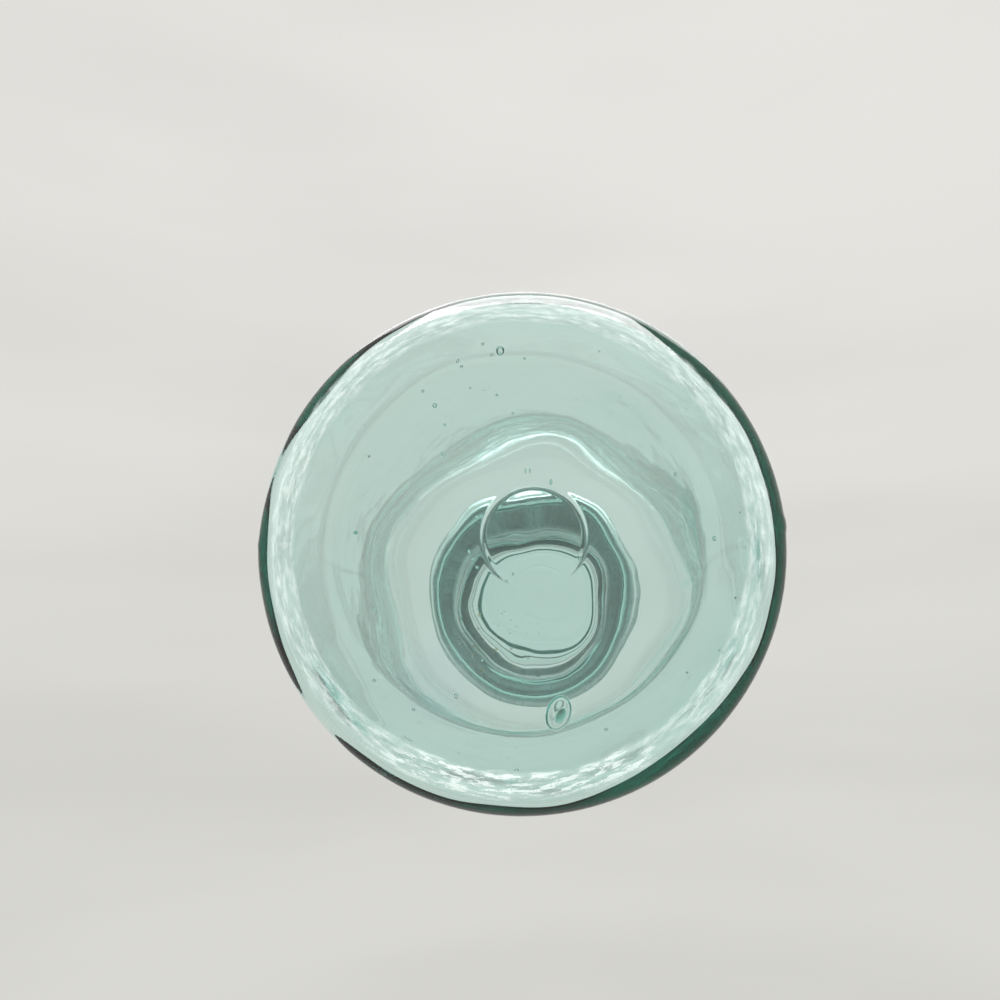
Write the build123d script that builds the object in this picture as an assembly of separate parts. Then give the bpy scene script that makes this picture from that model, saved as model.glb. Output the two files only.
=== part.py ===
from build123d import *

import math
import os

# A screw-top preserving jar of about one quart, as the pieces it comes apart into.  The blown glass jar
# stands on a narrow flat ring at its heel.  A rubber ring lies on its lip, a pressed glass lid lies on the
# rubber, and an open zinc band screws down over the lid's edge.  Sizes are in millimetres.  The origin is
# the middle of the resting ring and +Z runs up through the mouth.

# ---- glass jar: body and base ----
body_diameter = 98.6
jar_height = 171.0
wall = 2.5
base_thickness = 3.4
heel_radius = 4.6
inner_heel_radius = 1.4
inner_crown = 0.8
resting_ring_width = 2.8
push_up_height = 2.2
push_up_slope_width = 8.0

# the ring left on the base by the mould's valve, which sits a little off the middle
valve_mark_diameter = 18.8
valve_mark_width = 0.8
valve_mark_depth = 0.3
valve_mark_x = 3.3
valve_mark_y = 0.3

# the two lines up the sides where the halves of the mould meet
seam_width = 0.9
seam_height = 0.25
seam_sink = 0.6

# ---- glass jar: shoulder, bead and neck ----
shoulder_radius = 15.0
shoulder_turn = 65.0
collar_fillet = 3.0
collar_step = 1.6
collar_height = 1.4
bead_reach = 6.4
bead_height = 4.0
bead_lower_radius = 1.6
bead_upper_radius = 0.8
neck_diameter = 65.4
neck_height = 20.5
mouth_diameter = 57.0
lip_radius = 1.2
lip_inner_radius = 0.8

# ---- screw thread: pitch and rib size shared by the neck and the band ----
thread_pitch = 5.08
thread_height = 1.5
thread_flank_slope = 0.45
neck_thread_crest = 1.0
neck_thread_turns = 1.3
neck_thread_below_lip = 3.4
band_thread_crest = 0.7
band_thread_turns = 1.15
band_groove_crest = 0.25
thread_sink = 0.3

# ---- rubber ring ----
rubber_thickness = 1.8
rubber_mouth_inset = 0.5
rubber_neck_inset = 0.3
rubber_edge = 0.25

# ---- pressed glass lid ----
lid_thickness = 3.4
lid_edge_radius = 0.8
lid_overhang = 0.9
boss_height = 3.2
boss_taper = 1.2
lid_rib_width = 1.6
lid_rib_height = 0.5
lid_rib_shares = (0.5, 0.82)
crown_height = 1.6
crown_taper = 1.0

# ---- zinc screw band ----
zinc = 0.5
flange_width = 9.0
hem_radius = 0.6
band_corner_radius = 2.6
step_width = 6.0
step_height = 0.7
lid_play = 0.4
skirt_flare = 1.4
skirt_above_bead = 1.0
grip_height = 3.0
grip_ribs = 96
grip_rib_radius = 0.4
grip_above_curl = 0.3
curl_radius = 0.85
curl_turn = 290.0

# ---- clearances between pieces that touch or turn against each other ----
seat_gap = 0.1
lid_side_gap = 0.5
boss_gap = 2.0
crown_gap = 2.5
thread_radial_gap = 0.4
thread_flank_gap = 0.3

# ---- places worked out from the sizes above ----
body_r = body_diameter / 2
neck_r = neck_diameter / 2
mouth_r = mouth_diameter / 2
collar_r = neck_r + collar_step
bead_r = neck_r + bead_reach
seat_z = jar_height - neck_height
bead_z = seat_z - bead_height
shoulder_top_z = bead_z - collar_height
ring_outer_r = body_r - heel_radius
ring_inner_r = ring_outer_r - resting_ring_width
floor_z = push_up_height + base_thickness

neck_thread_z = jar_height - neck_thread_below_lip - neck_thread_turns * thread_pitch
thread_bore_r = neck_r + thread_height + thread_radial_gap
flank_offset = (
    (neck_thread_crest + band_thread_crest) / 2
    + thread_flank_slope * (thread_height - thread_radial_gap)
    + thread_flank_gap
)
band_thread_z = neck_thread_z - flank_offset

rubber_inner_r = mouth_r + rubber_mouth_inset
rubber_outer_r = neck_r - rubber_neck_inset
boss_r = mouth_r - boss_gap
lid_r = thread_bore_r + lid_overhang
lid_z = jar_height + rubber_thickness + seat_gap
lid_top_z = lid_z + lid_thickness
band_bore_r = lid_r + lid_side_gap
open_r = band_bore_r - flange_width
step_r = band_bore_r - step_width
crown_r = open_r - crown_gap
flange_z = lid_top_z + seat_gap
rim_z = flange_z + step_height
skirt_z = seat_z + skirt_above_bead
grip_bore_r = thread_bore_r + skirt_flare
grip_z = skirt_z + 2 * curl_radius + grip_above_curl


def arc(start, centre, degrees):
    """Arc from start about centre, turning anticlockwise for positive degrees."""
    away = (start[0] - centre[0], start[1] - centre[1])
    points = []
    for share in (0.5, 1.0):
        turn = math.radians(degrees * share)
        points.append((
            centre[0] + away[0] * math.cos(turn) - away[1] * math.sin(turn),
            centre[1] + away[0] * math.sin(turn) + away[1] * math.cos(turn),
        ))
    return ThreePointArc(start, points[0], points[1])


def outline(*steps):
    """Chain of edges through (radius, height) points, with a ready-made edge wherever one is given."""
    edges = []
    here = steps[0]
    for step in steps[1:]:
        if isinstance(step, tuple):
            edges.append(Line(here, step))
            here = step
        else:
            gap = math.dist(here, tuple(step @ 0)[:2])
            if gap > 1e-6:
                edges.append(Line(here, tuple(step @ 0)[:2]))
            edges.append(step)
            here = tuple(step @ 1)[:2]
    return edges


def turned(edges):
    """Solid of revolution about Z of a closed chain of (radius, height) edges."""
    return revolve(make_face([Plane.XZ.location * edge for edge in edges]), Axis.Z)


def flat_ring(outer_r, inner_r, low_z, height):
    """Plain ring with square edges, standing on low_z."""
    return Pos(0, 0, low_z) * extrude(Circle(outer_r) - Circle(inner_r), height)


def shoulder(wall_r, end_r, low_z, convex_r, concave_r):
    """Edges from the body wall up to the neck: a convex arc, a slope, and a concave arc ending at end_r."""
    turn = math.radians(shoulder_turn)
    slope = (wall_r - end_r - (convex_r + concave_r) * (1 - math.cos(turn))) / math.sin(turn)
    lower = arc((wall_r, low_z), (wall_r - convex_r, low_z), shoulder_turn)
    corner = tuple(lower @ 1)[:2]
    upper_start = (corner[0] - slope * math.sin(turn), corner[1] + slope * math.cos(turn))
    centre = (end_r + concave_r, upper_start[1] + concave_r * math.sin(turn))
    upper = arc(upper_start, centre, -shoulder_turn)
    return [lower, Line(corner, upper_start), upper]


def shoulder_start():
    """Height at which the body wall turns into the shoulder, so that the shoulder ends under the bead."""
    top = shoulder(body_r, collar_r, 0, shoulder_radius, collar_fillet)[-1] @ 1
    return shoulder_top_z - top.Y


def helical_rib(path_r, low_z, turns, crest, outward):
    """Right-hand trapezoid rib on a helix that starts at low_z over the +X axis.

    It stands thread_height out from path_r, away from the axis if outward is 1 and towards it if -1, and is
    rooted thread_sink deep in the wall behind.
    """
    root = crest / 2 + thread_flank_slope * (thread_height + thread_sink)
    path = Pos(0, 0, low_z) * Helix(pitch=thread_pitch, height=turns * thread_pitch, radius=path_r)
    section = make_face(Polyline(
        (-outward * thread_sink, -root),
        (outward * thread_height, -crest / 2),
        (outward * thread_height, crest / 2),
        (-outward * thread_sink, root),
        close=True,
    ))
    return sweep(Plane(path @ 0, x_dir=(1, 0, 0), z_dir=path % 0) * section, path=path, is_frenet=True)


def jar_outside():
    """Edges from the axis under the base, out to the resting ring, up the body and on to the lip."""
    slope_r = ring_inner_r - push_up_slope_width
    push_up = Spline((slope_r, push_up_height), (ring_inner_r, 0), tangents=[(1, 0), (1, 0)])
    tip_r = bead_r - bead_lower_radius
    edge_z = seat_z - bead_upper_radius
    return outline(
        (0, push_up_height),
        push_up,
        arc((ring_outer_r, 0), (ring_outer_r, heel_radius), 90),
        *shoulder(body_r, collar_r, shoulder_start(), shoulder_radius, collar_fillet),
        (collar_r, bead_z),
        arc((tip_r, bead_z), (tip_r, bead_z + bead_lower_radius), 90),
        arc((bead_r, edge_z), (bead_r - bead_upper_radius, edge_z), 90),
        (neck_r, seat_z),
        arc((neck_r, jar_height - lip_radius), (neck_r - lip_radius, jar_height - lip_radius), 90),
        (mouth_r + lip_inner_radius, jar_height),
    )


def jar_inside():
    """Edges from the lip down the mouth, the shoulder and the wall to the middle of the floor."""
    lip_r = mouth_r + lip_inner_radius
    inner_r = body_r - wall
    flat_r = inner_r - inner_heel_radius
    corner_z = floor_z + inner_heel_radius
    rising = shoulder(inner_r, mouth_r, shoulder_start(), shoulder_radius - wall, collar_fillet + wall)
    falling = [
        arc(tuple(rising[2] @ 1)[:2], (mouth_r + collar_fillet + wall, (rising[2] @ 1).Y), shoulder_turn),
        tuple(rising[1] @ 0)[:2],
        arc(tuple(rising[0] @ 1)[:2], (inner_r - shoulder_radius + wall, shoulder_start()), -shoulder_turn),
    ]
    crown = ThreePointArc((flat_r, floor_z), (0, floor_z + inner_crown), (-flat_r, floor_z))
    half_crown = ThreePointArc(crown @ 0, crown @ 0.25, crown @ 0.5)
    return outline(
        (lip_r, jar_height),
        arc((lip_r, jar_height), (lip_r, jar_height - lip_inner_radius), 90),
        *falling,
        arc((inner_r, corner_z), (flat_r, corner_z), -90),
        half_crown,
        (0, push_up_height),
    )


def mould_seams():
    """Two thin upright lines on opposite sides of the body, sunk a little into the wall."""
    low_z, high_z = heel_radius, shoulder_start()
    bar = Pos(0, 0, (low_z + high_z) / 2) * Box(seam_height + seam_sink, seam_width, high_z - low_z)
    offset = body_r + (seam_height - seam_sink) / 2
    return Pos(offset, 0, 0) * bar + Pos(-offset, 0, 0) * bar


def glass_jar():
    """The jar: blown body, solid neck with its thread, mould seams, and the valve's ring under the base."""
    thread = helical_rib(neck_r, neck_thread_z, neck_thread_turns, neck_thread_crest, 1)
    body = turned(jar_outside() + jar_inside()) + thread + mould_seams()
    groove_r = valve_mark_depth / 2 + valve_mark_width**2 / 8 / valve_mark_depth
    groove_z = push_up_height + valve_mark_depth - groove_r
    return body - Pos(valve_mark_x, valve_mark_y, groove_z) * Torus(valve_mark_diameter / 2, groove_r)


def rubber_ring():
    """Flat rubber ring that lies on the lip, under the lid's flange."""
    ring = flat_ring(rubber_outer_r, rubber_inner_r, jar_height, rubber_thickness)
    return chamfer(ring.edges(), rubber_edge)


def glass_lid():
    """Pressed glass lid: a flange over the rubber, a boss in the mouth and a low crown inside the band."""
    edge = lid_edge_radius
    under_z = lid_z - boss_height
    crown_z = lid_top_z + crown_height
    disc = turned(outline(
        (0, under_z),
        (boss_r - boss_taper, under_z),
        (boss_r, lid_z),
        arc((lid_r - edge, lid_z), (lid_r - edge, lid_z + edge), 90),
        arc((lid_r, lid_top_z - edge), (lid_r - edge, lid_top_z - edge), 90),
        (crown_r, lid_top_z),
        (crown_r - crown_taper, crown_z),
        (0, crown_z),
        (0, under_z),
    ))
    for share in lid_rib_shares:
        rib_r = (boss_r - boss_taper) * share
        disc += flat_ring(rib_r + lid_rib_width / 2, rib_r - lid_rib_width / 2,
                          under_z - lid_rib_height, lid_rib_height)
    return disc


def band_shell():
    """Drawn sheet: flange over the lid, rounded corner, step under the lid, thread wall, flare, grip wall."""
    outer_r = band_bore_r + zinc
    corner = band_corner_radius
    inner_corner = corner - zinc
    ledge = band_bore_r - thread_bore_r
    ledge_z = lid_z - lid_play
    return turned(outline(
        (open_r, flange_z + zinc),
        (step_r, flange_z + zinc),
        (step_r + step_height, rim_z + zinc),
        arc((outer_r - corner, rim_z + zinc), (outer_r - corner, rim_z + zinc - corner), -90),
        (outer_r, ledge_z),
        (outer_r - ledge, ledge_z - ledge),
        (thread_bore_r + zinc, grip_z + grip_height + skirt_flare),
        (grip_bore_r + zinc, grip_z + grip_height),
        (grip_bore_r + zinc, skirt_z + curl_radius),
        (grip_bore_r, skirt_z + curl_radius),
        (grip_bore_r, grip_z + grip_height),
        (thread_bore_r, grip_z + grip_height + skirt_flare),
        (thread_bore_r, ledge_z - ledge),
        (band_bore_r, ledge_z),
        arc((band_bore_r, rim_z - inner_corner), (band_bore_r - inner_corner, rim_z - inner_corner), 90),
        (step_r + step_height, rim_z),
        (step_r, flange_z),
        (open_r, flange_z),
        (open_r, flange_z + zinc),
    ))


def skirt_curl():
    """Lower edge of the band, rolled outward into an open C so that no raw edge is left to cut a hand."""
    centre = (grip_bore_r + curl_radius, skirt_z + curl_radius)
    hollow = curl_radius - zinc
    outer = arc((grip_bore_r, centre[1]), centre, curl_turn)
    inner = arc((centre[0] - hollow, centre[1]), centre, curl_turn)
    return turned([outer, Line(outer @ 1, inner @ 1), inner, Line(inner @ 0, outer @ 0)])


def opening_hem():
    """Bead round the opening, where the flange's edge is turned up and pressed solid."""
    return Pos(0, 0, flange_z + hem_radius) * Torus(open_r, hem_radius)


def grip_rib_ring():
    """Fine upright ribs round the grip wall, half sunk in the sheet."""
    rib_ring = PolarLocations(grip_bore_r + zinc, grip_ribs) * Circle(grip_rib_radius)
    plan = Circle(grip_bore_r + zinc) + rib_ring - Circle(grip_bore_r + zinc / 2)
    return Pos(0, 0, grip_z) * extrude(plan, grip_height)


def screw_band():
    """Open screw band: the shell with the thread pressed into it, its hem, its curl and its ribbed grip.

    Its step is rolled in under the lid, which keeps the lid in the band and lifts it off with the band.

    The pressed groove outside stops short of each end of the ridge inside, which leaves the sheet closed.
    """
    end_turns = 2 * zinc / (2 * math.pi * thread_bore_r)
    ridge = helical_rib(thread_bore_r, band_thread_z, band_thread_turns, band_thread_crest, -1)
    groove = helical_rib(thread_bore_r + zinc, band_thread_z + end_turns * thread_pitch,
                         band_thread_turns - 2 * end_turns, band_groove_crest, -1)
    sheet = band_shell() + opening_hem() + skirt_curl() + grip_rib_ring() + ridge
    return sheet - Rot(0, 0, 360 * end_turns) * groove


if __name__ == "__main__":
    os.makedirs("parts", exist_ok=True)
    pieces = {
        "glass_jar": glass_jar(),
        "rubber_ring": rubber_ring(),
        "glass_lid": glass_lid(),
        "screw_band": screw_band(),
    }
    for name, solid in pieces.items():
        export_step(solid, f"parts/{name}.step")
        print(name, len(solid.solids()), round(solid.volume, 1), solid.is_valid)
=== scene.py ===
"""Aqua glass screw-top jar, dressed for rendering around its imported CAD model."""

import math

import bpy
import numpy as np
from mathutils import Matrix, Vector


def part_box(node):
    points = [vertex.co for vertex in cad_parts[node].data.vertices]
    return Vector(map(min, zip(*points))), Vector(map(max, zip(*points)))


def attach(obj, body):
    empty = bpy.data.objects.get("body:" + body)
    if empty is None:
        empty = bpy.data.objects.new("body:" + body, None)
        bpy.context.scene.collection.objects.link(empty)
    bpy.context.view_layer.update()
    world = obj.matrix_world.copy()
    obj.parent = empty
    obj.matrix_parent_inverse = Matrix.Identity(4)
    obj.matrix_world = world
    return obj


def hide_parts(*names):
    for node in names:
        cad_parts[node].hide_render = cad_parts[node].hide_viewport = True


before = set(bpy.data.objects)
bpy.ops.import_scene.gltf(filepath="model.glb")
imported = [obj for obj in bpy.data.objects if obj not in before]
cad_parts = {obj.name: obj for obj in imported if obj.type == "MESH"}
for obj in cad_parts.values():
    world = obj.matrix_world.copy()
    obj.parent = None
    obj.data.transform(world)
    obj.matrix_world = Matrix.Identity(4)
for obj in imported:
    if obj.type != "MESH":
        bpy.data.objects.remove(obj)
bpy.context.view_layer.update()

# ---------------------------------------------------------------------------------------------------------
# Glass jar.  One piece of old blue-green bottle glass, blown in a two-part mould: uneven walls, a worn
# resting ring at the heel, a shallow push-up with the valve's ring in it, seed bubbles, and a screw neck.
# ---------------------------------------------------------------------------------------------------------
MM = 0.001
rng = np.random.default_rng(1858)


def outline(corners):
    """Line through (radius, height, fillet, spacing) corners, in mm, with every corner rounded.

    Each fillet is the arc of that radius tangent to both legs: it starts radius * tan(turn / 2) before the
    corner.  Legs and arcs are sampled at the spacing of the corner that they lead to.
    """
    points = [np.array(corners[0][:2], float)[None]]
    last = points[0][0]
    for here, after in zip(corners[1:], corners[2:] + [None]):
        corner, fillet, spacing = np.array(here[:2], float), here[2], here[3]
        arrive = corner
        arc = np.empty((0, 2))
        if after is not None and fillet > 0:
            u = (corner - last) / np.linalg.norm(corner - last)
            v = np.array(after[:2], float) - corner
            v /= np.linalg.norm(v)
            turn = math.acos(np.clip(u @ v, -1, 1))
            side = np.sign(u[0] * v[1] - u[1] * v[0])
            arrive = corner - u * fillet * math.tan(turn / 2)
            centre = arrive + side * fillet * np.array([-u[1], u[0]])
            steps = max(3, math.ceil(fillet * turn / min(spacing, fillet * 0.4)))
            angle = np.linspace(0, side * turn, steps + 1)[1:]
            arm = arrive - centre
            arc = centre + np.column_stack([
                arm[0] * np.cos(angle) - arm[1] * np.sin(angle),
                arm[0] * np.sin(angle) + arm[1] * np.cos(angle),
            ])
        steps = max(1, math.ceil(np.linalg.norm(arrive - last) / spacing))
        points.append(last + (arrive - last) * np.linspace(0, 1, steps + 1)[1:, None])
        points.append(arc)
        last = arc[-1] if len(arc) else arrive
    return np.vstack(points)


def turned(profile, columns, pushes=()):
    """Grid of points (x, y, z) of a profile turned about Z: row i is profile point i, column j is angle j.

    Each push is a function of the grid that gives a distance to move along the profile's outward normal,
    which is the profile's direction turned a quarter clockwise.
    """
    along = np.gradient(profile, axis=0)
    along /= np.linalg.norm(along, axis=1, keepdims=True)
    angle = np.linspace(0, 2 * np.pi, columns, endpoint=False)[None]
    r, z = profile[:, :1], profile[:, 1:]
    grid = [r * np.cos(angle), r * np.sin(angle), z + 0 * angle]
    move = sum((push(*grid, angle + 0 * r) for push in pushes), np.zeros_like(grid[0]))
    r = r + move * along[:, 1:]
    z = z - move * along[:, :1]
    return np.stack([r * np.cos(angle), r * np.sin(angle), z + 0 * angle], axis=-1)


def grid_faces(rows, columns, first=0, ring=False):
    """Quads between neighbouring rows and columns of a grid, wrapping the columns, and the rows if ring."""
    i = np.arange(rows if ring else rows - 1)[:, None]
    j = np.arange(columns)[None]
    k, l = (i + 1) % rows, (j + 1) % columns
    corners = (i * columns + j, i * columns + l, k * columns + l, k * columns + j)
    return first + np.stack([c + 0 * i + 0 * j for c in corners], axis=-1).reshape(-1, 4)


def closed_shell(grid, first=0):
    """Vertices and faces of a turned grid whose first and last rows lie on the axis: each becomes a pole."""
    rows, columns = grid.shape[:2]
    body = grid[1:-1].reshape(-1, 3)
    poles = np.stack([grid[0].mean(0), grid[-1].mean(0)])
    j = np.arange(columns)
    k = (j + 1) % columns
    low, high = first + len(body), first + len(body) + 1
    top = first + (rows - 3) * columns
    fans = [
        np.column_stack([np.full(columns, low), first + k, first + j]),
        np.column_stack([np.full(columns, high), top + j, top + k]),
    ]
    return np.vstack([body, poles]), [grid_faces(rows - 2, columns, first), *fans]


def volume_of(points, faces):
    """Signed volume of closed faces: the sum of the tetrahedra from the origin to each triangle."""
    total = 0.0
    for block in faces:
        for b in range(1, block.shape[1] - 1):
            a, c, d = points[block[:, 0]], points[block[:, b]], points[block[:, b + 1]]
            total += np.einsum("ij,ij->i", a, np.cross(c, d)).sum() / 6
    return total


def piece(name, points, faces, material, body, node):
    """Mesh object from points in mm and blocks of faces, riding on a body in place of a CAD node."""
    if volume_of(points, faces) < 0:
        faces = [block[:, ::-1] for block in faces]
    mesh = bpy.data.meshes.new(name)
    mesh.from_pydata((points * MM).tolist(), [], [f for block in faces for f in block.tolist()])
    mesh.polygons.foreach_set("use_smooth", np.ones(len(mesh.polygons), bool))
    mesh.materials.append(material)
    mesh.update()
    made = bpy.data.objects.new(name, mesh)
    bpy.context.scene.collection.objects.link(made)
    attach(made, body)
    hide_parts(node)
    return made


def linear(code):
    """sRGB hex such as 'c8d0ca' as linear red, green, blue, alpha."""
    parts = np.array([int(code[i:i + 2], 16) for i in (0, 2, 4)]) / 255
    flat = np.where(parts <= 0.04045, parts / 12.92, ((parts + 0.055) / 1.055) ** 2.4)
    return (*flat.tolist(), 1.0)


def add(tree, kind, settings=None, **sockets):
    """Adds a node.  settings are its own values; each socket, named or numbered as s0, is set or linked."""
    made = tree.nodes.new("ShaderNode" + kind)
    for key, value in (settings or {}).items():
        setattr(made, key, value)
    for key, value in sockets.items():
        numbered = key[0] == "s" and key[1:].isdigit()
        socket = made.inputs[int(key[1:]) if numbered else key.replace("_", " ")]
        if isinstance(value, bpy.types.NodeSocket):
            tree.links.new(value, socket)
        else:
            socket.default_value = value
    return made


def material(name):
    """Empty node material and its output node."""
    made = bpy.data.materials.new(name)
    made.use_nodes = True
    made.node_tree.nodes.clear()
    return made, made.node_tree, made.node_tree.nodes.new("ShaderNodeOutputMaterial")


def ramp(tree, value, low, high, out_low=0.0, out_high=1.0):
    """Smooth step of a value from low to high."""
    return add(tree, "MapRange", {"interpolation_type": "SMOOTHSTEP"}, Value=value, From_Min=low,
               From_Max=high, To_Min=out_low, To_Max=out_high).outputs[0]


def maths(tree, operation, *values):
    """Result of one Math node."""
    sockets = {f"s{i}": value for i, value in enumerate(values)}
    return add(tree, "Math", {"operation": operation}, **sockets).outputs[0]


def waves(x, y, z, length, seed, count=7):
    """Smooth unevenness from -1 to 1: a sum of sine waves of about that length in seeded directions."""
    own = np.random.default_rng(seed)
    total = np.zeros(np.broadcast(x, y, z).shape)
    for _ in range(count):
        way = own.normal(size=3)
        way *= 2 * np.pi / (length * own.uniform(0.75, 1.5)) / np.linalg.norm(way)
        total += np.sin(way[0] * x + way[1] * y + way[2] * z + own.uniform(0, 2 * np.pi))
    return total / math.sqrt(count) / 1.6


def ridge(x, y, z, angle, low_z, turns, pitch, root, crest, height):
    """Height of a right-hand thread rib at each point: a rounded trapezoid across the helix.

    The helix is low_z + pitch * angle / 2 pi, for turns turns, and the rib fades out over its last tenth.
    """
    total = 0 * z
    for whole in range(math.ceil(turns)):
        share = angle / (2 * np.pi) + whole
        off = np.abs(z - low_z - pitch * share)
        flank = np.clip((root - 2 * off) / (root - crest), 0, 1)
        ends = np.clip(share / 0.06, 0, 1) * np.clip((turns - share) / 0.06, 0, 1)
        total = np.maximum(total, height * flank * flank * (3 - 2 * flank) * np.sqrt(ends))
    return total


low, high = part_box("glass_jar")
jar_height = high.z / MM
body_r = (high.y - low.y) / 2 / MM - 0.3
wall, push_up, floor_z = 2.5, 2.2, 5.6
heel_r, inner_heel_r, ring_w = 4.6, 1.4, 2.8
neck_r, mouth_r, bead_r, collar_r = 32.7, 28.5, 39.1, 34.3
seat_z, bead_z, shoulder_z = jar_height - 20.5, jar_height - 24.5, jar_height - 44.36
shoulder_r, collar_fillet, slope = 15.0, 3.0, math.radians(65)
valve_x, valve_y, valve_r = 3.3, 0.3, 9.4
thread_pitch, thread_turns = 5.08, 1.3
thread_root, thread_crest, thread_proud = 2.5, 0.9, 1.5
neck_thread_z = jar_height - 3.4 - thread_turns * thread_pitch

ring_outer = body_r - heel_r
ring_inner = ring_outer - ring_w
inner_r = body_r - wall
turn_z = shoulder_z + shoulder_r * math.tan(slope / 2)
inner_turn_z = shoulder_z + (shoulder_r - wall) * math.tan(slope / 2)
jar_outside = [
    (0, push_up, 0, 0),
    (valve_r - 4.2, push_up, 0, 1.2),
    (valve_r + 4.2, push_up, 0, 0.2),
    (ring_inner - 6.2, push_up, 8.0, 1.4),
    (ring_inner, 0, 3.0, 0.6),
    (body_r, 0, heel_r, 0.3),
    (body_r, turn_z, shoulder_r, 2.8),
    (collar_r, turn_z + (body_r - collar_r) / math.tan(slope), collar_fillet, 1.2),
    (collar_r, bead_z, 0.5, 0.6),
    (bead_r, bead_z, 1.6, 0.6),
    (bead_r, seat_z, 0.8, 0.6),
    (neck_r, seat_z, 0.4, 0.8),
    (neck_r, seat_z + 8.0, 0, 1.5),
    (neck_r, jar_height, 1.2, 0.3),
    (mouth_r, jar_height, 0.8, 0.5),
]
jar_inside = [
    (mouth_r, inner_turn_z + (inner_r - mouth_r) / math.tan(slope), collar_fillet + wall, 1.6),
    (inner_r, inner_turn_z, shoulder_r - wall, 1.6),
    (inner_r, floor_z, inner_heel_r, 2.0),
    (0, floor_z + 0.8, 0, 0.9),
]
jar_line = outline(jar_outside + jar_inside)
lip_row = int(np.argmax(jar_line[:, 1]))
columns = 240


def inside_only(grid_z):
    """1 on the rows of the jar's inner surface, 0 on the outer ones, blended over the lip."""
    row = np.arange(len(jar_line))[:, None]
    return np.clip((row - lip_row - 4) / 12, 0, 1) + 0 * grid_z


def blown_wall(x, y, z, angle):
    """Uneven inner wall in mm: an off-centre hollow, slow waves, upright cords, and broad folds in the floor.

    The hollow sits towards -X, -Y, so the wall is thinnest there and thickest on the opposite side.
    """
    floor = np.clip((24 - z) / 10, 0, 1)
    below_neck = np.clip((bead_z - 4 - z) / 12, 0, 1)
    offset = 0.42 * np.cos(angle - math.radians(42)) * (np.hypot(x, y) / inner_r) ** 4
    slow = 0.10 * waves(x, y, 0.6 * z, 46, 3) + 0.05 * waves(x, y, 0.25 * z, 15, 4)
    folds = 0.34 * waves(x, y, z, 27, 5) + 0.07 * waves(x, y, z, 10, 6)
    return inside_only(z) * below_neck * (slow * (1 - floor) + folds * floor + offset)


def mould_surface(x, y, z, angle):
    """Slight sag of the outer face off the mould, inward only, and none on the neck's finish, in mm."""
    outside = 1 - inside_only(z)
    body = np.clip((bead_z - 5 - z) / 6, 0, 1) * np.clip(z / 6, 0, 1)
    base = np.clip(1 - z / 3, 0, 1)
    dip = 0.10 * (waves(x, y, z, 38, 7) - 1.2) + 0.012 * (waves(x, y, 0.4 * z, 12, 8) - 1)
    under = 0.05 * (waves(x, y, z, 16, 9) - 1.3) * np.clip((np.hypot(x, y) - 2) / 4, 0, 1)
    return outside * (body * dip + base * under)


def mould_seams(x, y, z, angle):
    """Upright seam lines at +X and -X, with a swelling where the left one starts at the heel, in mm."""
    outside = (1 - inside_only(z)) * np.clip((bead_z - 3 - z) / 4, 0, 1) * np.clip((z - 0.4) / 1.2, 0, 1)
    line = 0.12 * np.exp(-((y / 0.8) ** 2))
    swell = 0.22 * np.exp(-(((y - 1.5) / 6.5) ** 2)) * (x < 0) * np.exp(-((z / 26) ** 2))
    knob = 0.22 * np.exp(-(((y + 1.0) / 1.1) ** 2)) * (x > 0) * np.exp(-((z / 14) ** 2))
    return outside * (np.hypot(x, y) > ring_outer) * (line + swell + knob)


def valve_ring(x, y, z, angle):
    """Fine groove that the valve leaves in the push-up, a little off the middle, in mm."""
    away = np.hypot(x - valve_x, y - valve_y) - valve_r
    under = (z < push_up + 0.5) * (np.hypot(x, y) < ring_inner)
    return -0.085 * np.exp(-((away / 0.34) ** 2)) * under


def neck_thread(x, y, z, angle):
    """The thread: 1.3 turns of 5.08 mm pitch, 1.5 mm proud, on the outside of the neck only."""
    outside = (1 - inside_only(z)) * (z > seat_z + 4) * (z < jar_height - 1.3)
    shape = (thread_root, thread_crest, thread_proud)
    return outside * ridge(x, y, z, angle, neck_thread_z, thread_turns, thread_pitch, *shape)


jar_grid = turned(jar_line, columns, (blown_wall, mould_surface, mould_seams, valve_ring, neck_thread))
jar_points, jar_faces = closed_shell(jar_grid)

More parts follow.
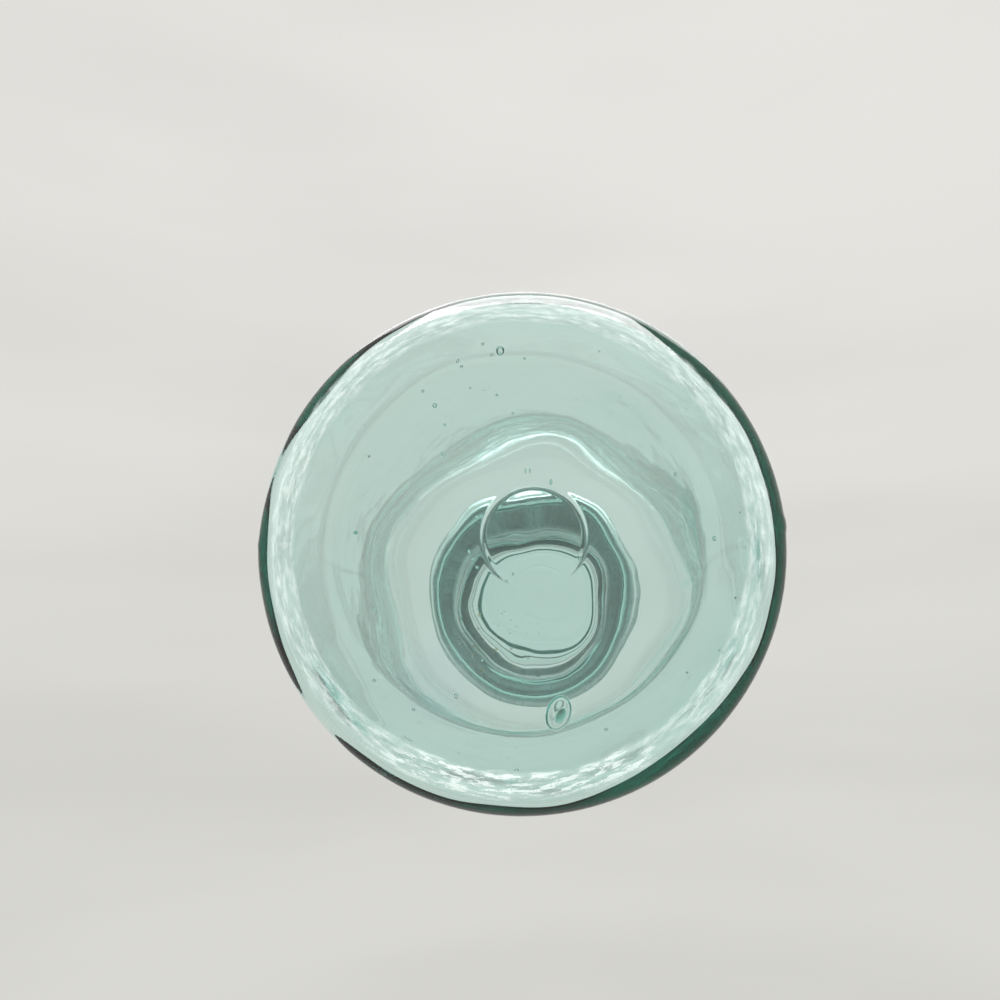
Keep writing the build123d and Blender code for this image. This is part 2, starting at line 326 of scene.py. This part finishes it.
# Seed bubbles: gas trapped in the glass, so each is a small closed hollow in the wall, faced inwards.
# Columns are place (x, y), height, half width, half length, half thickness and turn, in mm and degrees.
base_seeds = [
    (-2.1, -37.0, 4.2, 0.85, 1.15, 0.7, 0), (6.6, 31.8, 4.9, 2.3, 3.3, 0.9, 20),
    (7.2, 32.6, 6.6, 1.5, 2.1, 0.5, 35), (-5.5, -38.5, 4.0, 0.3, 0.4, 0.3, 0),
    (-3.8, -36.3, 4.6, 0.35, 0.4, 0.3, 0), (-10.5, -35.2, 4.0, 0.3, 0.5, 0.3, 30),
    (-9.8, -34.2, 4.8, 0.35, 0.35, 0.3, 0), (2.6, -35.2, 5.0, 0.3, 0.3, 0.3, 0),
    (-17.5, -29.5, 5.1, 0.35, 0.35, 0.3, 0), (-8.1, -29.5, 4.4, 0.25, 0.3, 0.25, 0),
    (-3.0, -28.0, 5.2, 0.3, 0.3, 0.3, 0), (-15.2, -26.5, 5.5, 0.5, 0.5, 0.4, 0),
    (0.0, -24.0, 4.6, 0.25, 0.3, 0.25, 0), (-13.2, -22.4, 5.0, 0.3, 0.3, 0.3, 0),
    (-13.7, -16.7, 5.6, 0.35, 0.35, 0.3, 0), (6.8, -10.3, 5.0, 0.3, 0.6, 0.3, 10),
    (2.1, -12.6, 4.8, 0.2, 0.5, 0.2, 0), (2.9, -12.6, 4.8, 0.2, 0.5, 0.2, 0),
    (-7.3, -4.1, 5.2, 0.5, 0.3, 0.3, 25), (-2.8, -5.8, 4.8, 0.3, 0.3, 0.3, 0),
    (1.5, 0.8, 5.4, 0.25, 0.25, 0.25, 0), (-8.9, 2.4, 5.0, 0.3, 0.6, 0.3, -15),
    (-8.2, 3.8, 5.2, 0.3, 0.4, 0.3, 0), (-7.5, 5.3, 5.4, 0.35, 0.35, 0.3, 0),
    (-0.8, 6.8, 5.0, 0.25, 0.3, 0.25, 0), (-2.0, 8.0, 4.7, 0.25, 0.25, 0.25, 0),
    (-30.6, -2.0, 5.6, 0.5, 0.4, 0.4, 0), (-26.7, 12.6, 5.2, 0.3, 0.7, 0.3, -30),
    (36.3, 1.5, 4.8, 0.4, 0.5, 0.4, 0), (30.0, -10.9, 5.2, 0.3, 0.4, 0.3, 0),
    (-6.8, 22.2, 5.3, 0.3, 0.3, 0.3, 0), (-11.7, 28.4, 5.0, 0.35, 0.5, 0.3, 0),
    (-26.9, 25.6, 5.2, 0.4, 0.3, 0.3, 0), (-19.5, 30.8, 4.8, 0.3, 0.3, 0.3, 0),
    (15.0, 35.0, 5.0, 0.35, 0.3, 0.3, 0), (-1.1, 41.6, 4.5, 0.4, 0.3, 0.3, 0),
]
wall_seed_count = 70


def bubble(centre, across, along, up, columns, rows):
    """Ellipsoid grid: rows of latitude and columns of longitude on the three given half axes, in mm."""
    tilt = np.linspace(-np.pi / 2, np.pi / 2, rows)[:, None]
    turn = np.linspace(0, 2 * np.pi, columns, endpoint=False)[None]
    ball = [np.cos(tilt) * np.cos(turn), np.cos(tilt) * np.sin(turn), np.sin(tilt) + 0 * turn]
    return centre + sum(part[..., None] * axis for part, axis in zip(ball, (across, along, up)))


holes = []
for x, y, z, width, length, thick, turn in base_seeds:
    c, s = math.cos(math.radians(turn)), math.sin(math.radians(turn))
    fine = (16, 9) if length > 0.8 else (8, 6)
    holes.append(bubble(np.array([x, y, z]), np.array([c, s, 0]) * width, np.array([-s, c, 0]) * length,
                        np.array([0, 0, thick]), *fine))
for _ in range(wall_seed_count):
    angle, height = rng.uniform(0, 2 * np.pi), rng.uniform(16, shoulder_z - 4)
    out = np.array([math.cos(angle), math.sin(angle), 0])
    side = np.array([-out[1], out[0], 0])
    size = rng.uniform(0.12, 0.30)
    centre = out * (body_r - wall * 0.5) + np.array([0, 0, height])
    upward_half = np.array([0, 0, size * rng.uniform(1.0, 2.6)])
    holes.append(bubble(centre, side * size, upward_half, out * size * 0.6, 8, 6))
for hole in holes:
    points, faces = closed_shell(hole, len(jar_points))
    local = [block - len(jar_points) for block in faces]
    if volume_of(points - points.mean(0), local) > 0:
        faces = [block[:, ::-1] for block in faces]
    jar_points, jar_faces = np.vstack([jar_points, points]), jar_faces + faces

# Soda-lime bottle glass, coloured by iron: clear and colourless at a thin edge, blue-green through the base,
# deep bottle green where the eye looks along the wall.  Blown glossy; ground white where it has stood.
glass, tree, output = material("aqua_soda_lime_glass")
place = add(tree, "TexCoord").outputs["Object"]
axes = add(tree, "SeparateXYZ", s0=place)
radius = maths(tree, "SQRT", maths(tree, "ADD", maths(tree, "MULTIPLY", axes.outputs[0], axes.outputs[0]),
                                   maths(tree, "MULTIPLY", axes.outputs[1], axes.outputs[1])))
blotch = add(tree, "TexNoise", s2=90.0, Vector=place, Detail=4.0).outputs[0]
grit = add(tree, "TexNoise", Vector=place, Scale=1500.0, Detail=3.0, Roughness=0.7).outputs[0]
turn_map = maths(tree, "ARCTAN2", axes.outputs[1], axes.outputs[0])
round_place = add(tree, "CombineXYZ", X=maths(tree, "MULTIPLY", turn_map, 0.008), Y=radius,
                  Z=axes.outputs[2]).outputs[0]
scuffs = add(tree, "TexNoise", Vector=round_place, Scale=1400.0, Detail=5.0, Roughness=0.65).outputs[0]
reach = maths(tree, "MULTIPLY_ADD", blotch, 0.0010, -0.00018)
on_ring = maths(tree, "SUBTRACT", 1.0, ramp(tree, axes.outputs[2], 0.00005, reach))
outer_side = ramp(tree, radius, 0.0375, 0.0395)
worn = maths(tree, "MULTIPLY", on_ring, outer_side)
dragged = maths(tree, "MULTIPLY", ramp(tree, axes.outputs[1], 0.034, 0.039), ramp(tree, scuffs, 0.48, 0.56))
scratches = maths(tree, "MAXIMUM", ramp(tree, scuffs, 0.40, 0.70, 0.15, 0.8), dragged)
scratched = maths(tree, "MULTIPLY", worn, scratches)
rough = maths(tree, "MULTIPLY_ADD", scratched, 0.34, 0.015)


def patch(x, y, reach_in, reach_out):
    """1 near a place (x, y) in metres on the floor of the jar, fading to 0 between the two distances."""
    across = maths(tree, "SUBTRACT", axes.outputs[0], x)
    along = maths(tree, "SUBTRACT", axes.outputs[1], y)
    away = maths(tree, "SQRT", maths(tree, "ADD", maths(tree, "MULTIPLY", across, across),
                                     maths(tree, "MULTIPLY", along, along)))
    on_floor = maths(tree, "MULTIPLY", ramp(tree, axes.outputs[2], 0.0038, 0.0046),
                     maths(tree, "SUBTRACT", 1.0, ramp(tree, axes.outputs[2], 0.011, 0.013)))
    nearby = maths(tree, "SUBTRACT", 1.0, ramp(tree, away, reach_in, reach_out))
    return maths(tree, "MULTIPLY", on_floor, nearby)


# Dried residue and a faint lilac bloom left on the floor by what the jar has held.
crumbs = add(tree, "TexNoise", Vector=place, Scale=620.0, Detail=3.0, Roughness=0.6).outputs[0]
residue = maths(tree, "MULTIPLY", patch(-0.0045, 0.0195, 0.004, 0.010), ramp(tree, crumbs, 0.60, 0.68))
bloom = maths(tree, "MULTIPLY", patch(-0.0155, 0.0260, 0.003, 0.011), 0.16)
stained = add(tree, "MixRGB", s0=residue, s1=linear("f4faf8"), s2=linear("b5a463")).outputs[0]
stained = add(tree, "MixRGB", s0=bloom, s1=stained, s2=linear("cfc6ea")).outputs[0]
dulled = maths(tree, "MULTIPLY_ADD", residue, 0.5, bloom)
clear = maths(tree, "SUBTRACT", maths(tree, "MULTIPLY_ADD", scratched, -0.38, 1.0), dulled)
cords = add(tree, "TexNoise", Vector=place, Scale=75.0, Detail=2.0, Roughness=0.4).outputs[0]
relief = maths(tree, "MULTIPLY_ADD", maths(tree, "MULTIPLY", grit, worn), 0.12, cords)
bump = add(tree, "Bump", Strength=0.5, Distance=0.00016, Height=relief).outputs[0]
surface = add(tree, "BsdfPrincipled", Base_Color=stained, Roughness=rough, IOR=1.52,
              Transmission_Weight=clear, Normal=bump)
tint = add(tree, "VolumeAbsorption", Color=(0.13, 0.785, 0.72, 1.0), Density=34.0)
tree.links.new(surface.outputs[0], output.inputs["Surface"])
tree.links.new(tint.outputs[0], output.inputs["Volume"])

piece("glass_jar_blown", jar_points, jar_faces, glass, "jar", "glass_jar")

# ---------------------------------------------------------------------------------------------------------
# Rubber ring.  A flat ring cut from pale jar rubber.  It lies on the ground lip, and the lid's flange
# squeezes it to make the seal.
# ---------------------------------------------------------------------------------------------------------
ring_low, ring_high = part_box("rubber_ring")
rubber_r, rubber_z, rubber_top = ring_high.x / MM, ring_low.z / MM + 0.02, ring_high.z / MM - 0.02
hole_r, mid_z = rubber_r - 3.4, (rubber_z + rubber_top) / 2
rubber_line = outline([
    (hole_r, mid_z, 0, 0), (hole_r, rubber_z, 0.25, 0.3), (rubber_r, rubber_z, 0.25, 0.4),
    (rubber_r, rubber_top, 0.25, 0.3), (hole_r, rubber_top, 0.25, 0.4), (hole_r, mid_z + 0.1, 0, 0.3),
])


def cut_edge(x, y, z, angle):
    """Slight waver of the cut edges, inward only, in mm."""
    return 0.04 * (waves(x, y, z, 9, 11) - 1.5)


rubber_grid = turned(rubber_line, 300, (cut_edge,))

# Moulded jar rubber: pale, matt, dusty in its pores and browned a little with age.
rubber, tree, output = material("aged_jar_rubber")
place = add(tree, "TexCoord").outputs["Object"]
stain = add(tree, "TexNoise", Vector=place, Scale=160.0, Detail=5.0, Roughness=0.6).outputs[0]
pores = add(tree, "TexNoise", Vector=place, Scale=2200.0, Detail=2.0).outputs[0]
browned = ramp(tree, stain, 0.35, 0.68)
dust = ramp(tree, pores, 0.5, 0.75, 0.0, 0.45)
tone = add(tree, "MixRGB", s0=browned, s1=linear("b9ab93"), s2=linear("8d7c66")).outputs[0]
dusty = add(tree, "MixRGB", s0=dust, s1=tone, s2=linear("cdc4b3")).outputs[0]
grain = add(tree, "Bump", Strength=0.4, Distance=0.0002, Height=pores).outputs[0]
surface = add(tree, "BsdfPrincipled", Base_Color=dusty, Roughness=0.82, IOR=1.5, Normal=grain)
tree.links.new(surface.outputs[0], output.inputs["Surface"])
piece("jar_rubber", rubber_grid.reshape(-1, 3), [grid_faces(*rubber_grid.shape[:2], ring=True)], rubber,
      "jar", "rubber_ring")

# ---------------------------------------------------------------------------------------------------------
# Glass lid.  A disc pressed from the same glass as the jar.  Its flange lies on the rubber, a boss with two
# raised rings hangs a little way into the mouth, and a low crown fills the band's opening.
# ---------------------------------------------------------------------------------------------------------
lid_low, lid_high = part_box("glass_lid")
lid_r, boss_r, crown_r = lid_high.x / MM, 26.5, 24.5
boss_z, crown_z = lid_low.z / MM + 0.5, lid_high.z / MM
lid_z, lid_top = boss_z + 3.2, crown_z - 1.6
lid_line = outline([
    (0, boss_z, 0, 0),
    (9.5, boss_z, 0, 1.5),
    (22.5, boss_z, 0, 0.35),
    (boss_r - 1.2, boss_z, 0.6, 0.5),
    (boss_r, lid_z, 0.8, 0.4),
    (lid_r, lid_z, 0.8, 0.9),
    (lid_r, lid_top, 0.8, 0.6),
    (crown_r, lid_top, 0.7, 0.8),
    (crown_r - 1.0, crown_z, 0.7, 0.3),
    (0, crown_z, 0, 1.4),
])


def pressed_rings(x, y, z, angle):
    """Two rounded rings under the boss, 1.6 mm wide and 0.5 mm proud."""
    span = boss_r - 1.2
    away = np.minimum(np.abs(np.hypot(x, y) - span * 0.5), np.abs(np.hypot(x, y) - span * 0.82))
    return 0.48 * np.clip((0.85 - away) / 0.35, 0, 1) ** 0.8 * (z < boss_z + 0.1)


def press_chill(x, y, z, angle):
    """Shallow ripple where the glass chilled against the press, inward only, in mm."""
    return 0.05 * (waves(x, y, z, 13, 12) - 1.5) * (np.hypot(x, y) < 23) * (z > lid_z)


points, faces = closed_shell(turned(lid_line, 240, (pressed_rings, press_chill)))
piece("pressed_glass_lid", points, faces, glass, "lid", "glass_lid")

# ---------------------------------------------------------------------------------------------------------
# Screw band.  Drawn from half-millimetre zinc sheet with an open top: its edge is hemmed round the opening,
# its thread is rolled in from outside, and it has a ribbed grip and a lower edge curled outward.
# ---------------------------------------------------------------------------------------------------------
band_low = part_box("screw_band")[0]
zinc = 0.5
open_r, step_r, hem = 27.0, 30.0, 0.6
flange_z, rim_z = lid_top + 0.1, lid_top + 0.8
seat_r, bore_r, grip_r = 36.0, 34.6, 36.0
ledge_z, flank_offset = lid_z - 0.4, 1.645
band_thread_z, band_turns = neck_thread_z - flank_offset, 1.15
grip_ribs, rib_height = 96, 0.36
curl_r, curl_z = 0.85, band_low.z / MM + 0.85
grip_low, grip_high, flare = curl_z + 1.15, curl_z + 4.15, 1.4


def rolled(centre, radius, start, end, count):
    """Arc about the middle of a rolled edge: centre plus radius times (cos, sin), in degrees."""
    turn = np.radians(np.linspace(start, end, count))
    return np.column_stack([centre[0] + radius * np.cos(turn), centre[1] + radius * np.sin(turn)])


hem_line = rolled((open_r, flange_z + hem), hem, 50, 270, 16)
band_inside = outline([
    (open_r + 0.4, flange_z, 0, 0), (step_r, flange_z, 0.5, 0.8), (step_r + 0.7, rim_z, 0.4, 0.4),
    (seat_r, rim_z, 2.1, 1.2), (seat_r, ledge_z, 0.6, 1.0), (bore_r, ledge_z - 1.4, 0.6, 0.5),
    (bore_r, grip_high + flare, 1.2, 0.32), (grip_r, grip_high, 1.2, 0.6), (grip_r, curl_z, 0, 0.8),
])
band_outside = outline([
    (grip_r + zinc, curl_z, 0, 0), (grip_r + zinc, grip_low, 0, 0.5), (grip_r + zinc, grip_high, 0.9, 0.25),
    (bore_r + zinc, grip_high + flare, 1.0, 0.5), (bore_r + zinc, ledge_z - 1.4, 0.7, 0.32),
    (seat_r + zinc, ledge_z, 0.7, 0.5), (seat_r + zinc, rim_z + zinc, 2.6, 0.7),
    (step_r + 0.7, rim_z + zinc, 0.5, 0.8), (step_r, flange_z + zinc, 0.5, 0.4),
    (open_r + 0.7, flange_z + zinc, 0, 0.6),
])
curl_at = (grip_r + curl_r, curl_z)
band_line = np.vstack([
    hem_line, band_inside, rolled(curl_at, curl_r, 180, 470, 22)[1:],
    rolled(curl_at, curl_r - zinc, 470, 180, 14), band_outside[1:],
])
inner_rows = len(hem_line) + len(band_inside)
band_columns = 576
band_grid = turned(band_line, band_columns)
x, y, z = np.moveaxis(band_grid, -1, 0)
angle = np.linspace(0, 2 * np.pi, band_columns, endpoint=False)[None] + 0 * z
# Rolled thread: both faces of the sheet go in together by the rib's height.
in_bore = (z < ledge_z - 1.6) * (z > grip_high + 1)
rolled_shape = (2.0, 0.6, 1.45)
inward = in_bore * ridge(x, y, z, angle, band_thread_z, band_turns, thread_pitch, *rolled_shape)
# Grip ribs: raised on the outer face only, 96 of them, fading at the grip's two edges.
row = np.arange(len(band_line))[:, None]
grip = np.clip((z - grip_low) / 0.5, 0, 1) * np.clip((grip_high - z) / 0.5, 0, 1)
on_outer_face = row > inner_rows + 30
outward = rib_height * np.maximum(np.cos(grip_ribs * angle), 0) ** 0.7 * grip * on_outer_face
# Dents and loss of true from long use, the same on both faces.
r = np.hypot(x, y)
soft = 0.08 * (waves(x, y, z, 30, 21) - 1) * np.clip((z - grip_low) / 6, 0, 1) * np.clip((r - 30) / 4, 0, 1)
new_r = r - inward + outward + soft
band_grid = np.stack([new_r * np.cos(angle), new_r * np.sin(angle), z], axis=-1)

# Rolled zinc sheet, oxidised: soft grey metal under a pale blotchy bloom, rough, with rubbed high spots.
zinc_metal, tree, output = material("oxidised_rolled_zinc")
place = add(tree, "TexCoord").outputs["Object"]
cloud = add(tree, "TexNoise", Vector=place, Scale=110.0, Detail=6.0, Roughness=0.62).outputs[0]
speck = add(tree, "TexNoise", Vector=place, Scale=900.0, Detail=3.0).outputs[0]
bloom = ramp(tree, cloud, 0.42, 0.66)
rubbed, chalky = ramp(tree, speck, 0.4, 0.7), maths(tree, "MULTIPLY", bloom, 0.75)
metal_tone = add(tree, "MixRGB", s0=rubbed, s1=linear("bfc2c3"), s2=linear("a3a7a9")).outputs[0]
tone = add(tree, "MixRGB", s0=chalky, s1=metal_tone, s2=linear("cfd0cc")).outputs[0]
rough = maths(tree, "MULTIPLY_ADD", bloom, 0.28, maths(tree, "MULTIPLY_ADD", speck, 0.14, 0.30))
pits = add(tree, "Bump", Strength=0.35, Distance=0.00025, Height=speck).outputs[0]
bare = maths(tree, "MULTIPLY_ADD", bloom, -0.45, 1.0)
surface = add(tree, "BsdfPrincipled", Base_Color=tone, Metallic=bare, Roughness=rough, Normal=pits)
tree.links.new(surface.outputs[0], output.inputs["Surface"])
piece("zinc_screw_band", band_grid.reshape(-1, 3), [grid_faces(*band_grid.shape[:2], ring=True)], zinc_metal,
      "band", "screw_band")

# ---------------------------------------------------------------------------------------------------------
# Floor.  A pale table, seen only from above: from below, and for any ray that came up through it, it is
# clear, so that the underside of the jar can be looked at where it stands.
# ---------------------------------------------------------------------------------------------------------
table, tree, output = material("pale_table")
place = add(tree, "TexCoord").outputs["Object"]
fibre = add(tree, "TexNoise", Vector=place, Scale=60.0, Detail=4.0).outputs[0]
pale = add(tree, "MixRGB", s0=fibre, s1=linear("e2e1de"), s2=linear("dad9d5")).outputs[0]
solid = add(tree, "BsdfDiffuse", Color=pale).outputs[0]
nothing = add(tree, "BsdfTransparent").outputs[0]
from_below = add(tree, "NewGeometry").outputs["Backfacing"]
came_through = maths(tree, "GREATER_THAN", add(tree, "LightPath").outputs["Transparent Depth"], 0.5)
seen = add(tree, "MixShader", s0=maths(tree, "MAXIMUM", from_below, came_through), s1=solid, s2=nothing)
tree.links.new(seen.outputs[0], output.inputs["Surface"])
half = 4.0
mesh = bpy.data.meshes.new("table_top")
mesh.from_pydata([(-half, -half, 0), (half, -half, 0), (half, half, 0), (-half, half, 0)], [], [(0, 1, 2, 3)])
mesh.materials.append(table)
table_top = bpy.data.objects.new("table_top", mesh)
bpy.context.scene.collection.objects.link(table_top)

# ---------------------------------------------------------------------------------------------------------
# Light.  A pale room, a wide soft window in front, and a second one low in front, under the table's level,
# which lights the jar's heel and only counts where the jar is looked at from below.
# ---------------------------------------------------------------------------------------------------------
world = bpy.data.worlds.new("pale_room")
bpy.context.scene.world = world
world.use_nodes = True
tree = world.node_tree
tree.nodes.clear()
way = add(tree, "TexCoord").outputs["Generated"]
rise = add(tree, "SeparateXYZ", s0=way).outputs[2]
stretched = add(tree, "Mapping", Vector=way, Scale=(1.2, 5.0, 1.0)).outputs[0]
foam = add(tree, "TexNoise", Vector=stretched, Scale=1.1, Detail=3.0, Roughness=0.45).outputs[0]
creases = ramp(tree, foam, 0.3, 0.7)
sheet = add(tree, "MixRGB", s0=creases, s1=linear("d4d3cf"), s2=linear("e3e2de")).outputs[0]
along = add(tree, "SeparateXYZ", s0=way).outputs[1]
shade, lift = ramp(tree, along, -0.7, 0.5), ramp(tree, rise, -0.55, -0.1)
graded = add(tree, "MixRGB", s0=shade, s1=linear("e9e8e4"), s2=linear("c9c9c3")).outputs[0]
overhead = add(tree, "MixRGB", s0=0.55, s1=graded, s2=sheet).outputs[0]
room = add(tree, "MixRGB", s0=lift, s1=linear("eeeeeb"), s2=overhead).outputs[0]
sky = add(tree, "Background", Color=room, Strength=1.0)
end = tree.nodes.new("ShaderNodeOutputWorld")
tree.links.new(sky.outputs[0], end.inputs[0])


def soft_light(name, place, size, radiance):
    """Rectangular light at a place in metres, facing the jar.  Its power is radiance * area * pi."""
    lamp = bpy.data.lights.new(name, "AREA")
    lamp.shape = "RECTANGLE"
    lamp.size, lamp.size_y = size
    lamp.energy = radiance * size[0] * size[1] * math.pi
    made = bpy.data.objects.new(name, lamp)
    made.location = place
    made.rotation_euler = (Vector((0, 0, 0.06)) - Vector(place)).to_track_quat("-Z", "Y").to_euler()
    made.visible_camera = made.visible_transmission = False
    bpy.context.scene.collection.objects.link(made)


soft_light("window", (0.1, -1.3, 0.62), (1.9, 1.3), 2.6)
soft_light("low_window", (0.05, -1.15, -0.5), (1.1, 1.2), 13.0)

# ---------------------------------------------------------------------------------------------------------
# Camera.  Held close under the base, looking up through it, tipped a little towards the front.
# ---------------------------------------------------------------------------------------------------------
lens = bpy.data.cameras.new("hand_held")
lens.lens, lens.sensor_width = 27.0, 36.0
lens.clip_start = 0.01
eye = bpy.data.objects.new("hand_held", lens)
bpy.context.scene.collection.objects.link(eye)
eye_at, aim_at, roll = Vector((6.8, 20.2, -134.1)) * MM, Vector((-2.6, -6.4, 0)) * MM, math.radians(1.4)
forward = (aim_at - eye_at).normalized()
upward = Vector((0, -1, 0))
upward = (upward - forward * upward.dot(forward)).normalized()
rightward = forward.cross(upward)
upward, rightward = (upward * math.cos(roll) + rightward * math.sin(roll),
                     rightward * math.cos(roll) - upward * math.sin(roll))
eye.matrix_world = Matrix.Translation(eye_at) @ Matrix((rightward, upward, -forward)).transposed().to_4x4()
bpy.context.scene.camera = eye
bpy.context.scene.view_settings.view_transform = "Standard"
# Light is caught inside thick glass for many turns before it comes out.
for path in ("max_bounces", "glossy_bounces", "transmission_bounces"):
    setattr(bpy.context.scene.cycles, path, 32)
